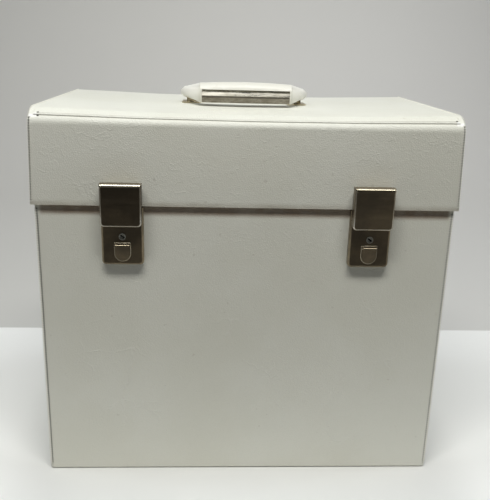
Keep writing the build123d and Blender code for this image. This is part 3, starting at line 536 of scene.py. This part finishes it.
def spring_steel():
    """Brushed steel for the lock works, springs, pins, hasp brackets and handle core."""
    s = Shader("spring_steel")
    grain = s.noise(900, 3, 0.6, s.stretch((0.1, 1, 1)))
    tint = s.mix(s.noise(90, 3), (0.30, 0.30, 0.30), (0.46, 0.45, 0.43))
    s.bumps((grain, 0.00003, 0.4))
    return s.finish(Base_Color=tint, Roughness=s.ramp(grain, 0.3, 0.7, 0.28, 0.45),
                    Metallic=1.0)


# ---- plastic, paper, board and wood -----------------------------------------------------------

GRIP_SHADE_ENDS = (0.044, 0.040)   # along the handle, in metres: where the painted shade on the grip's middle ends


def cream_plastic():
    """Moulded plastic, with painted shade on the grip's middle where the hand holds it."""
    s = Shader("cream_plastic")
    drift = s.noise(45, 3)
    tint = s.mix(s.ramp(drift, 0.35, 0.7), (0.955, 0.94, 0.87), (0.97, 0.96, 0.90))
    # painted shade on the grip's middle, toning its lit top down against the arms
    grip_shade = s.ramp(s.size(s.axis("X")), *GRIP_SHADE_ENDS)
    tint = s.mix(s.times(grip_shade, 0.8), tint, (0.76, 0.745, 0.665))
    grime = s.ramp(s.noise(210, 3, 0.5), 0.62, 0.75)
    tint = s.mix(s.times(grime, 0.18), tint, (0.60, 0.55, 0.44))
    s.bumps((drift, 0.0006, 0.3), (s.noise(1500, 2), 0.00003, 0.4))
    return s.finish(Base_Color=tint, Roughness=s.ramp(s.noise(120, 3), 0.3, 0.7, 0.30, 0.42),
                    Specular_IOR_Level=0.5)


def lining_paper():
    """Aged buff paper with upright fibres, on the linings and the collar."""
    s = Shader("lining_paper")
    fibre = s.noise(1400, 3, 0.6, s.stretch((1, 1, 0.35)))
    tint = s.mix(s.ramp(s.noise(18, 3), 0.35, 0.7), (0.66, 0.61, 0.50), (0.73, 0.69, 0.59))
    tint = s.mix(s.times(s.ramp(fibre, 0.5, 0.75), 0.2), tint, (0.52, 0.47, 0.37))
    s.bumps((fibre, 0.00006, 0.5))
    return s.finish(Base_Color=tint, Roughness=0.85)


def grey_board():
    """Coarse brown-grey board under the vinyl."""
    s = Shader("board")
    fibre = s.noise(900, 4, 0.65)
    tint = s.mix(s.ramp(fibre, 0.35, 0.7), (0.34, 0.29, 0.21), (0.45, 0.39, 0.29))
    s.bumps((fibre, 0.00012, 0.5))
    return s.finish(Base_Color=tint, Roughness=0.9)


def batten_wood():
    """Softwood with its grain along the batten."""
    s = Shader("batten_wood")
    ring = s.noise(160, 4, 0.6, s.stretch((0.08, 1, 1)))
    tint = s.mix(s.ramp(ring, 0.35, 0.7), (0.52, 0.37, 0.20), (0.66, 0.50, 0.30))
    s.bumps((ring, 0.0001, 0.4))
    return s.finish(Base_Color=tint, Roughness=0.7)


# ---- stage and lights -------------------------------------------------------------------------

TABLE_EDGE = 0.214
STAGE_REACH = 2.6
COVE_FOOT = 1.0
COVE_RADIUS = 0.7
COVE_STEPS = 16
WORLD_COLOUR = (0.96, 0.97, 1.0)
WORLD_STRENGTH = 0.04
# name, place, target, size, watts, colour and spread in degrees
LIGHTS = (
    ("key", (-0.06, -0.667, 1.62), (-0.06, -0.107, 0.25), (1.2, 0.25), 20.0,
     (1.0, 0.99, 0.95), 180),
    ("overhead", (0.0, -0.02, 1.9), (0.0, -0.02, 0.0), (1.6, 0.2), 4.0, (0.80, 0.91, 1.0), 180),
    ("side_left", (-1.3, -0.05, 1.7), (-0.35, 0.0, 0.0), (0.5, 0.3), 4.2,
     (0.95, 0.98, 1.0), 180),
    ("side_right", (1.3, -0.05, 1.7), (0.35, 0.0, 0.0), (0.5, 0.3), 5.2,
     (0.95, 0.98, 1.0), 180),
    ("wall_wash", (0.1, 0.9, 1.9), (0.1, 1.6, 0.4), (1.6, 0.5), 4.6, (1.0, 0.99, 0.97), 105),
)


def stage_paint():
    """Pale table that darkens towards the front and is whiter beside the case, painted light that
    evens out its shadow, and the grey of the wall behind it.
    """
    s = Shader("stage_paint")
    x, y = s.axis("X"), s.axis("Y")
    grey = s.mix(s.ramp(x, -0.5, 0.6), (0.63, 0.625, 0.60), (0.69, 0.685, 0.665))
    pale = s.mix(s.noise(14, 4), (0.78, 0.785, 0.77), (0.74, 0.745, 0.73))
    # painted light: the table whiter beside the case, where its shadow falls
    pale = s.mix(s.ramp(s.size(x), 0.16, 0.24), pale, (0.97, 0.975, 0.96))
    pale = s.mix(s.ramp(y, -0.32, -0.19), (0.17, 0.17, 0.165), pale)
    tint = s.mix(s.ramp(y, TABLE_EDGE - 0.0015, TABLE_EDGE + 0.0015), pale, grey)
    return s.finish(Base_Color=tint, Roughness=0.7, Specular_IOR_Level=0.15)


def make_stage():
    """Table top that sweeps up into a wall far behind the case."""
    profile = [(-STAGE_REACH, 0.0), (COVE_FOOT, 0.0)]
    for step in range(1, COVE_STEPS + 1):
        turn = math.radians(90) * step / COVE_STEPS
        profile.append((COVE_FOOT + COVE_RADIUS * math.sin(turn),
                        COVE_RADIUS * (1 - math.cos(turn))))
    profile.append((COVE_FOOT + COVE_RADIUS, STAGE_REACH))
    verts = [(x, y, z) for y, z in profile for x in (-STAGE_REACH, STAGE_REACH)]
    faces = [(2 * k, 2 * k + 1, 2 * k + 3, 2 * k + 2) for k in range(len(profile) - 1)]
    mesh = bpy.data.meshes.new("table_and_wall")
    mesh.from_pydata(verts, [], faces)
    mesh.shade_smooth()
    mesh.materials.append(stage_paint())
    made = bpy.data.objects.new("table_and_wall", mesh)
    bpy.context.scene.collection.objects.link(made)


def make_lights():
    """Faint world light and the rectangular lamps, for a plain view transform."""
    world = bpy.data.worlds.new("world")
    world.use_nodes = True
    background = world.node_tree.nodes["Background"]
    background.inputs["Color"].default_value = (*WORLD_COLOUR, 1)
    background.inputs["Strength"].default_value = WORLD_STRENGTH
    bpy.context.scene.world = world
    for name, place, target, size, watts, colour, spread in LIGHTS:
        data = bpy.data.lights.new(name, "AREA")
        data.shape = "RECTANGLE"
        data.size, data.size_y = size
        data.energy = watts
        data.color = colour
        data.spread = math.radians(spread)
        lamp = bpy.data.objects.new(name, data)
        lamp.location = place
        aim = Vector(target) - Vector(place)
        lamp.rotation_euler = aim.to_track_quat("-Z", "Y").to_euler()
        bpy.context.scene.collection.objects.link(lamp)
    bpy.context.scene.view_settings.view_transform = "Standard"


# ---- smoother shading for the CAD nodes -------------------------------------------------------

WELD_DISTANCE = 2e-6
BEVEL_SEGMENTS = 3


def smoothing(angle):
    """Modifier tree: weld the facets and shade them smooth except at real edges."""
    tree = bpy.data.node_groups.new("smooth_%d" % angle, "GeometryNodeTree")
    for way in ("INPUT", "OUTPUT"):
        tree.interface.new_socket("Geometry", in_out=way, socket_type="NodeSocketGeometry")
    make, link = tree.nodes.new, tree.links.new
    start, end = make("NodeGroupInput"), make("NodeGroupOutput")
    drop = make("GeometryNodeRemoveAttribute")
    drop.inputs["Name"].default_value = "custom_normal"
    weld = make("GeometryNodeMergeByDistance")
    weld.inputs["Distance"].default_value = WELD_DISTANCE
    bend = make("GeometryNodeInputMeshEdgeAngle")
    gentle = make("FunctionNodeCompare")
    gentle.data_type = "FLOAT"
    gentle.operation = "LESS_EQUAL"
    gentle.inputs["B"].default_value = math.radians(angle)
    edges = make("GeometryNodeSetShadeSmooth")
    edges.domain = "EDGE"
    faces = make("GeometryNodeSetShadeSmooth")
    link(start.outputs[0], drop.inputs["Geometry"])
    link(drop.outputs["Geometry"], weld.inputs["Geometry"])
    link(weld.outputs["Geometry"], edges.inputs["Geometry"])
    link(bend.outputs["Unsigned Angle"], gentle.inputs["A"])
    link(gentle.outputs["Result"], edges.inputs["Shade Smooth"])
    link(edges.outputs["Geometry"], faces.inputs["Geometry"])
    link(faces.outputs["Geometry"], end.inputs[0])
    return tree


def soften(piece, tree, bevel, angle):
    """Smoothing, then a bevel in millimetres on edges sharper than the angle."""
    smooth = piece.modifiers.new("smooth", "NODES")
    smooth.node_group = tree
    if bevel:
        round_off = piece.modifiers.new("round", "BEVEL")
        round_off.width = bevel * MM
        round_off.segments = BEVEL_SEGMENTS
        round_off.limit_method = "ANGLE"
        round_off.angle_limit = math.radians(angle)
        round_off.harden_normals = True


# ---- sewing, in millimetres -------------------------------------------------------------------

STITCH_PITCH = 2.12
STITCH_WOBBLE = 0.12
THREAD_RADIUS = 0.52
END_INSET = 1.7            # each lid stitch's reach on the end panel,
FACE_REACH = 1.7           # on the front and back,
TOP_REACH = 0.25           # and on the top
NEEDLE_HOLE_RADIUS = 0.46
LID_GAP_RADIUS = 0.60
LID_GAPS_BELOW = 320.0
LID_SEWING_FOOT = 252.5
ROLL_STEPS = 8
BACK_CORNER = ((104.0, 328.0, 0.0, 1.0), (106.2, 327.2, 0.6, 0.8), (107.0, 325.0, 1.0, 0.0))
BODY_SEWING = (6.0, 246.0)
BODY_REACH = 2.8           # each body stitch's reach from the corner
BODY_PROUD = 0.02
BODY_THREAD_RADIUS = THREAD_RADIUS * 1.1
BODY_GAP_RADIUS = 0.66
PUNCHED_HOLES = ((-167.6, -106.5, 322.25), (-167.9, -104.4, 324.1), (169.0, -104.4, 324.1))
PUNCHED_FACING = (0, -0.62, 0.78)
PUNCHED_RADIUS = 0.95


def lid_end_x(z):
    """Half length of the lid at a height."""
    return LID_HALF_WIDTH - LID_LEAN * (z - SEAM_HEIGHT) / (CASE_HEIGHT - SEAM_HEIGHT)


def lid_outline():
    """The end panel's edge in (y, z) with the outward direction, up the front and over."""
    roll_y, roll_z = ROLL_RUN - LID_FRONT, CASE_HEIGHT - ROLL_DROP
    path = [(-LID_FRONT, z, -1.0, 0.0) for z in (LID_SEWING_FOOT, 275.0, 300.0, roll_z)]
    for step in range(1, ROLL_STEPS):
        turn = math.radians(90) * step / ROLL_STEPS
        path.append((roll_y - ROLL_RUN * math.cos(turn), roll_z + ROLL_DROP * math.sin(turn),
                     -math.cos(turn), math.sin(turn)))
    return path + [(roll_y, CASE_HEIGHT, 0.0, 1.0), *BACK_CORNER,
                   (BODY_HALF_DEPTH, LID_SEWING_FOOT, 1.0, 0.0)]


def along(path, pitch):
    """Places at even spacing on a path of (y, z, ny, nz), each with the path's direction."""
    left = pitch / 2
    for a, b in zip(path, path[1:]):
        length = math.hypot(b[0] - a[0], b[1] - a[1])
        while left < length:
            t = left / length
            here = [p + (q - p) * t for p, q in zip(a, b)]
            size = math.hypot(here[2], here[3])
            yield (here[0], here[1], here[2] / size, here[3] / size,
                   (b[0] - a[0]) / length, (b[1] - a[1]) / length)
            left += pitch
        left -= length


def circle(mesh, centre, normal, radius, sides):
    """Vertices round a centre, square to a direction."""
    across = normal.orthogonal().normalized()
    other = normal.cross(across)
    return [mesh.verts.new((centre + radius * (math.cos(a) * across + math.sin(a) * other)) * MM)
            for a in (2 * math.pi * n / sides for n in range(sides))]


def tube(mesh, points, radius, sides=6, end_share=0.55):
    """Closed tube through points, thinner at its two ends."""
    rings = []
    for k, point in enumerate(points):
        ahead = points[min(k + 1, len(points) - 1)] - points[max(k - 1, 0)]
        ahead.normalize()
        size = radius * (end_share if k in (0, len(points) - 1) else 1.0)
        rings.append(circle(mesh, point, ahead, size, sides))
    for low, high in zip(rings, rings[1:]):
        start = min(range(sides), key=lambda n: (high[n].co - low[0].co).length)
        for n in range(sides):
            m = (n + 1) % sides
            mesh.faces.new((low[n], low[m], high[(m + start) % sides], high[(n + start) % sides]))
    mesh.faces.new(rings[0][::-1])
    mesh.faces.new(rings[-1])


def spot(mesh, centre, normal, radius, sides=8, rise=0.12):
    """Low dark dot lying on a surface."""
    ring = circle(mesh, centre, normal, radius, sides)
    top = mesh.verts.new((centre + normal * rise) * MM)
    for n in range(sides):
        mesh.faces.new((ring[n], ring[(n + 1) % sides], top))


def sew_lid(threads, holes):
    """Overcast stitches round each end panel, with a dark spot of painted shade in the gap
    between them up the front.

    A stitch's path is given by its distances from the edge: out of the end panel, out of the
    face and on along the edge.
    """
    for side in (-1, 1):
        out = Vector((side, 0, 0))
        for y, z, ny, nz, ty, tz in along(lid_outline(), STITCH_PITCH):
            edge = Vector((side * lid_end_x(z), y, z))
            face, on = Vector((0, ny, nz)), Vector((0, ty, tz))
            wobble = random.uniform(-STITCH_WOBBLE, STITCH_WOBBLE)
            reach = TOP_REACH if nz > 0.5 else FACE_REACH
            first = edge - out * reach + face * 0.06 + on * (0.25 + wobble)
            last = edge - face * END_INSET + out * 0.10 - on * (0.35 + wobble)
            tube(threads, [first, edge - out * 0.4 * reach + face * 0.22,
                           edge + (out + face) * 0.12, edge - face * 0.6 + out * 0.30, last],
                 THREAD_RADIUS)
            hole = edge - face * (END_INSET + 0.35) + out * 0.02 - on * (0.45 + wobble)
            spot(holes, hole, out, NEEDLE_HOLE_RADIUS)
            # a dark spot of painted shade in the gap between stitches
            if z < LID_GAPS_BELOW:
                gap = edge + on * STITCH_PITCH / 2 - out * 0.90 + face * 0.16
                spot(holes, gap, (face + 0.15 * out).normalized(), LID_GAP_RADIUS, 10, 0.3)
    # near-black spots of painted shade in the holes at the groove's ends
    for place in PUNCHED_HOLES:
        facing = Vector(PUNCHED_FACING)
        spot(holes, Vector(place) + facing * 0.05, facing, PUNCHED_RADIUS, 12, 0.25)


def sew_body(threads, holes):
    """Overcast stitches up the four upright corners, with dark spots of painted shade in the gaps
    on both faces.
    """
    corner_in = BODY_EDGE_RADIUS * (1 - math.sqrt(0.5))
    wide, deep = BODY_HALF_WIDTH, BODY_HALF_DEPTH
    up = Vector((0, 0, 1))
    for side, face_y in ((-1, -1), (-1, 1), (1, -1), (1, 1)):
        out, face = Vector((side, 0, 0)), Vector((0, face_y, 0))
        z, top = BODY_SEWING
        while z < top:
            wobble = random.uniform(-STITCH_WOBBLE, STITCH_WOBBLE)
            edge = Vector((side * (wide - corner_in), face_y * (deep - corner_in), z))
            first = Vector((side * (wide - BODY_REACH), face_y * (deep + BODY_PROUD),
                            z + 0.5 + wobble))
            last = Vector((side * (wide + BODY_PROUD), face_y * (deep - BODY_REACH),
                           z - 0.5 + wobble))
            tube(threads, [first, edge + (out + face) * 0.02 - out * 0.9 + face * 0.72,
                           edge + (out + face) * 0.10, edge - face * 0.9 + out * 0.72, last],
                 BODY_THREAD_RADIUS)
            # dark spots of painted shade in the gaps, on both faces
            for place, normal in ((first + out * 0.7, face), (last + face * 0.7, out)):
                spot(holes, place + up * (STITCH_PITCH / 2 - 0.5), normal, BODY_GAP_RADIUS)
            z += STITCH_PITCH


def place_mesh(name, mesh, material, body, smooth):
    """A finished mesh as a piece that rides on a body."""
    data = bpy.data.meshes.new(name)
    bmesh.ops.recalc_face_normals(mesh, faces=mesh.faces)
    mesh.to_mesh(data)
    mesh.free()
    if smooth:
        data.shade_smooth()
    data.materials.append(material)
    made = bpy.data.objects.new(name, data)
    bpy.context.scene.collection.objects.link(made)
    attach(made, body)


def make_sewing():
    """Threads, and the spots of painted shade in holes and gaps, of the lid, then of the body."""
    pale, dark = thread(), dark_hole()
    for body, sew in (("lid", sew_lid), ("case_body", sew_body)):
        threads, holes = bmesh.new(), bmesh.new()
        sew(threads, holes)
        place_mesh(body + "_stitches", threads, pale, body, True)
        place_mesh(body + "_needle_holes", holes, dark, body, False)


# ---- putting it together ----------------------------------------------------------------------

OWN_METALS = (("hasp_left", hasp_metal), ("hasp_right", hasp_metal), ("lock_case", lock_metal),
              ("release_button", button_metal), ("key_barrel", barrel_metal))
# start of a node's name, angle below which it is smoothed, bevel, and the bevel's angle
SOFTENING = (("hasp_left", 28, 0.45, 35), ("hasp_right", 28, 0.45, 35),
             ("lock_case", 28, 0.45, 35), ("release_button", 28, 0.3, 35),
             ("handle_pad", 80, 0.0, 0), ("handle_trim", 28, 0.2, 20), ("hinge", 33, 0.15, 40),
             ("handle_bracket", 33, 0.15, 40), ("hasp_bracket", 33, 0.15, 40),
             ("handle_pins", 33, 0.15, 40), ("", 28, 0.0, 0))
BODY_FOLDS = 0.18
LID_FOLDS = 0.42


def dress_nodes():
    """Give each CAD node its material and its softening."""
    by_slot = {"white_vinyl": vinyl("body_vinyl", body_marks, BODY_FOLDS),
               "board": grey_board(), "lining_paper": lining_paper(),
               "batten_wood": batten_wood(), "antique_brass": antique_brass(),
               "bright_steel": bright_metal(), "spring_steel": spring_steel(),
               "cream_plastic": cream_plastic()}
    lid_vinyl = vinyl("lid_vinyl", lid_marks, LID_FOLDS)
    pale_brass = bracket_brass()
    trees = {angle: smoothing(angle) for angle in (28, 80, 33)}
    for entry in frame["record"]["subparts"]:
        name, slot = entry["node"], entry["material_slot"]
        material = by_slot[slot]
        if slot == "white_vinyl" and name.startswith("lid_"):
            material = lid_vinyl
        if name.startswith(("handle_bracket", "handle_pins")):
            material = pale_brass
        for start, metal in OWN_METALS:
            if name.startswith(start):
                material = metal(name + "_metal", *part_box(name))
        piece = nodes[name]
        piece.data.materials.clear()
        piece.data.materials.append(material)
        _, smooth, bevel, sharp = next(row for row in SOFTENING if name.startswith(row[0]))
        soften(piece, trees[smooth], bevel, sharp)


def press_springs():
    """Give each bolt spring a mesh of its own."""
    for side in ("left", "right"):
        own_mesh(nodes["bolt_spring_" + side])


make_camera()
make_stage()
make_lights()
dress_nodes()
make_sewing()
press_springs()
